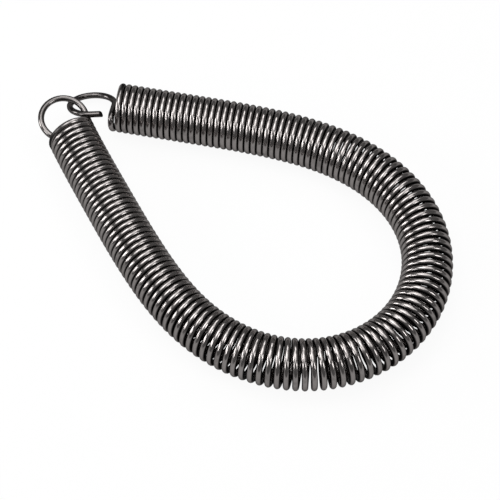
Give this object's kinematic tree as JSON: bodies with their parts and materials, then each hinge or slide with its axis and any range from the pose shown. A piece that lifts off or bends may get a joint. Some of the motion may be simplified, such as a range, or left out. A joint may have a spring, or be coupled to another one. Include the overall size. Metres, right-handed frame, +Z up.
{
  "type": "extension spring",
  "caption": "Long close-wound steel extension spring lying bent round into a ring, its two end hooks linked together.",
  "frame": {"origin": "centre of the ring's bounding box, on the surface the spring lies on", "axes": "+Z up, across the coil, with the ring lying flat; +X along the ring's longest extent, away from the linked hooks; +Y across the ring, towards the straight end with the crossing hook"},
  "size_m": [0.131, 0.1126, 0.016],
  "materials": {
    "spring_steel": "dark bright-drawn spring wire with a light oil film"
  },
  "bodies": {
    "root": {"spring": "spring_steel"}
  },
  "joints": []
}
